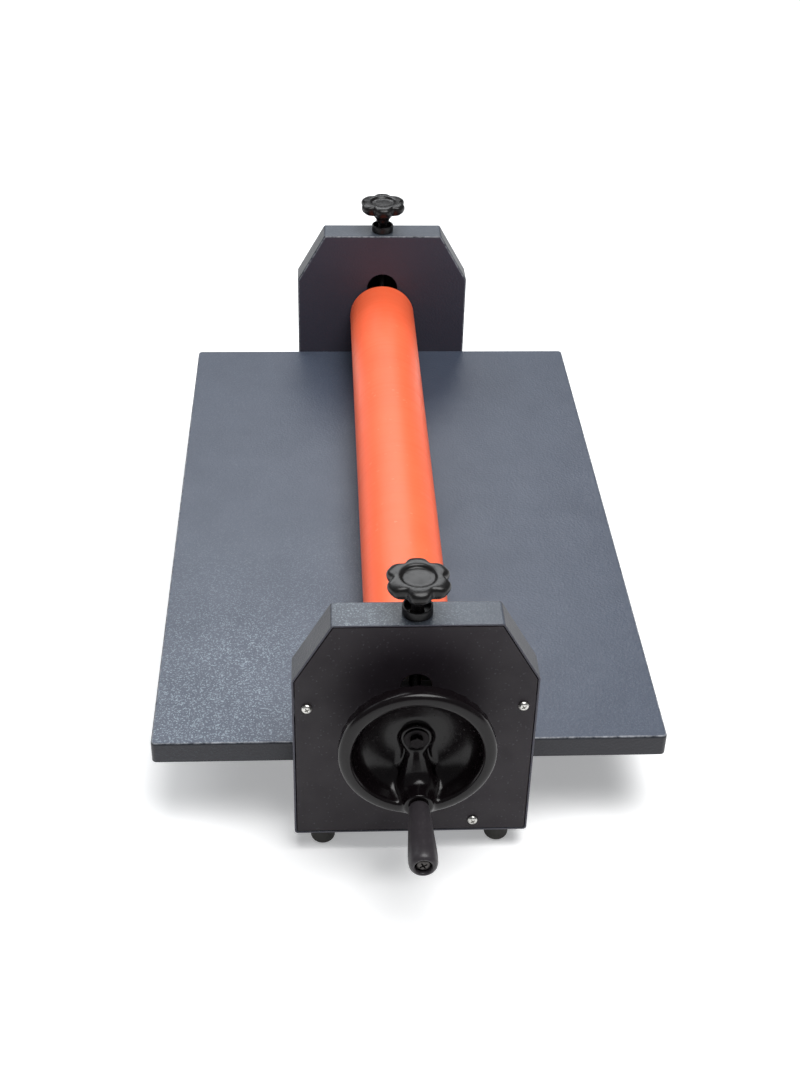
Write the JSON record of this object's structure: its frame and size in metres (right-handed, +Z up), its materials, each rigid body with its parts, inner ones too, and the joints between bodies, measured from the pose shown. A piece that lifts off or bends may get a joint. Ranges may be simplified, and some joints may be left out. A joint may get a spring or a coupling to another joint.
{
  "type": "cold roll laminator",
  "caption": "Manual cold roll laminator with a handwheel on an upper silicone roller, star-knob pressure screws and flat feed tables.",
  "frame": {"origin": "on the floor, under the centre of the machine, handle and knobs included", "axes": "+Y runs along the rollers away from the handwheel, +X is the feed direction from infeed table to outfeed table, +Z is up"},
  "size_m": [0.42, 0.8404, 0.2695],
  "materials": {
    "hammered_paint": "blue-grey hammered powder coat, slightly sparkling",
    "dark_paint": "dark charcoal powder coat, satin",
    "orange_silicone": "smooth matte silicone",
    "rubber": "matte",
    "bakelite": "moulded black phenolic, polished",
    "black_nylon": "satin",
    "steel": "turned and drawn steel",
    "zinc": "bright zinc plate",
    "bronze": "sintered bronze"
  },
  "bodies": {
    "base": {"far_cover": "dark_paint", "far_cover_screw_bottom": "zinc", "far_cover_screw_left": "zinc", "far_cover_screw_right": "zinc", "far_infeed_foot": "rubber", "far_infeed_guide": "steel", "far_infeed_table_screw": "zinc", "far_infeed_tie_bolt": "zinc", "far_lift_nut": "steel", "far_lift_spring": "steel", "far_lower_housing": "black_nylon", "far_outfeed_foot": "rubber", "far_outfeed_guide": "steel", "far_outfeed_table_screw": "zinc", "far_outfeed_tie_bolt": "zinc", "far_screw_collar": "black_nylon", "far_side_frame": "hammered_paint", "infeed_table": "hammered_paint", "infeed_tie_bar": "steel", "near_cover": "dark_paint", "near_cover_screw_bottom": "zinc", "near_cover_screw_left": "zinc", "near_cover_screw_right": "zinc", "near_infeed_foot": "rubber", "near_infeed_guide": "steel", "near_infeed_table_screw": "zinc", "near_infeed_tie_bolt": "zinc", "near_lift_nut": "steel", "near_lift_spring": "steel", "near_lower_housing": "black_nylon", "near_outfeed_foot": "rubber", "near_outfeed_guide": "steel", "near_outfeed_table_screw": "zinc", "near_outfeed_tie_bolt": "zinc", "near_screw_collar": "black_nylon", "near_side_frame": "hammered_paint", "outfeed_table": "hammered_paint", "outfeed_tie_bar": "steel"},
    "carriage": {"near_bearing_block": "black_nylon", "near_upper_bush": "bronze", "far_bearing_block": "black_nylon", "far_upper_bush": "bronze"},
    "upper_roller": {"upper_roller_core": "steel", "upper_roller_sleeve": "orange_silicone", "shaft_retaining_ring": "steel", "handwheel": "bakelite", "hub_drive_pin": "steel", "hub_washer": "zinc", "hub_screw": "zinc", "handle_spindle": "zinc", "spindle_nut": "zinc"},
    "handle": {"handle_grip": "bakelite"},
    "near_adjuster": {"near_knob": "bakelite", "near_pressure_screw": "steel"},
    "far_adjuster": {"far_knob": "bakelite", "far_pressure_screw": "steel"},
    "lower_roller": {"lower_roller_core": "steel", "lower_roller_sleeve": "rubber"}
  },
  "joints": [
    {"name": "roller_lift", "type": "slide", "parent": "base", "child": "carriage", "axis": [0, 0, 1], "range_m": [-0.0071, 0.0155], "deforming": ["near_lift_spring", "far_lift_spring"]},
    {"name": "upper_roller_turn", "type": "hinge", "parent": "carriage", "child": "upper_roller", "pos_m": [0, 0.04885, 0.14], "axis": [0, 1, 0], "continuous": true},
    {"name": "handle_turn", "type": "hinge", "parent": "upper_roller", "child": "handle", "pos_m": [0.0018, -0.38115, 0.0925], "axis": [0, 1, 0], "continuous": true},
    {"name": "near_knob_turn", "type": "hinge", "parent": "carriage", "child": "near_adjuster", "pos_m": [0, -0.29715, 0.24], "axis": [0, 0, 1], "range_deg": [-1704, 3720]},
    {"name": "far_knob_turn", "type": "hinge", "parent": "carriage", "child": "far_adjuster", "pos_m": [0, 0.39485, 0.24], "axis": [0, 0, 1], "range_deg": [-1704, 3720]},
    {"name": "lower_roller_turn", "type": "hinge", "parent": "base", "child": "lower_roller", "pos_m": [0, 0.04885, 0.0665], "axis": [0, 1, 0], "continuous": true}
  ],
  "couplings": [
    {"joint": "near_knob_turn", "follows": "roller_lift", "rad_per_m": 4188.8},
    {"joint": "far_knob_turn", "follows": "roller_lift", "rad_per_m": 4188.8}
  ]
}
